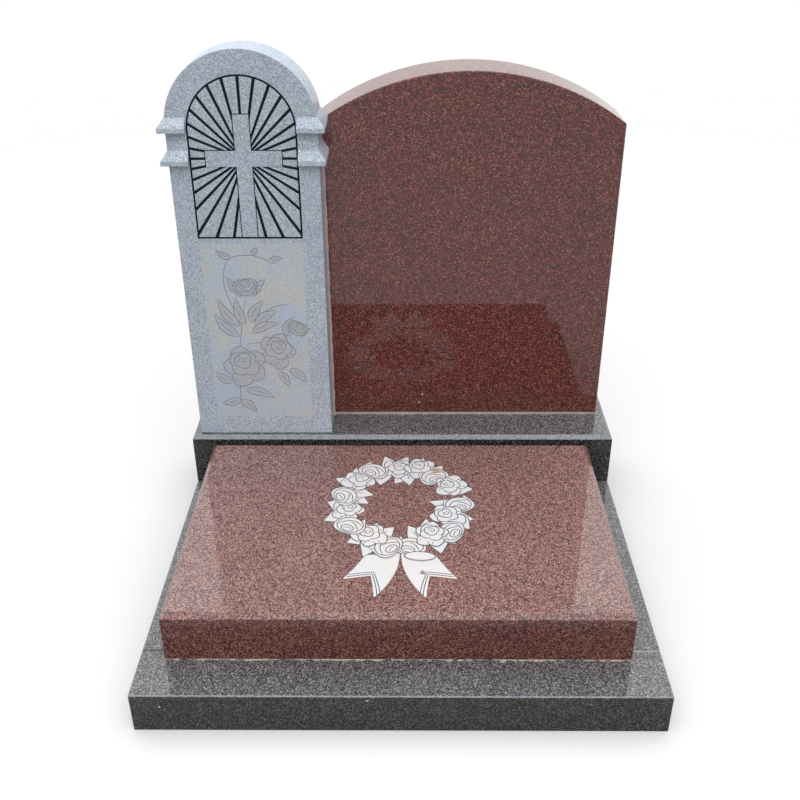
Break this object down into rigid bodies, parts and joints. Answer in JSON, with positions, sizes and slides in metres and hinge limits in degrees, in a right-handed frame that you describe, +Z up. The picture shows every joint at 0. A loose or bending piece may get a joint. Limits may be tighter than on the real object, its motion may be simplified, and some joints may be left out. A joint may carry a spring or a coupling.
{
  "type": "granite grave memorial with a cross pillar",
  "caption": "Kerb-set granite grave memorial: an arched grey pillar with a rayed cross, a cambered red headstone and a raised red cover slab on dark grey kerbs and base.",
  "frame": {"origin": "Middle of the whole memorial's footprint, at ground level.", "axes": "+X across the memorial to the viewer's right, +Y from the front kerb back to the headstone, +Z up. The front faces -Y."},
  "size_m": [1, 0.905, 1.1109],
  "materials": {
    "dark_granite": "polished dark grey granite",
    "red_granite": "polished dark red granite",
    "light_granite": "light grey speckled granite, polished, with black-filled cut lines",
    "mortar": "pinkish-cream pointing mortar",
    "white_artwork": "white laser-etched artwork with thin grey lines",
    "black_paint": "black enamel in the cut lines of the window"
  },
  "bodies": {
    "root": {"front_kerb": "dark_granite", "left_kerb": "dark_granite", "right_kerb": "dark_granite", "head_base": "dark_granite", "ledger_bed": "mortar", "ledger": "red_granite", "headstone_bed": "mortar", "headstone": "red_granite", "cross_pillar": "light_granite"}
  },
  "joints": []
}
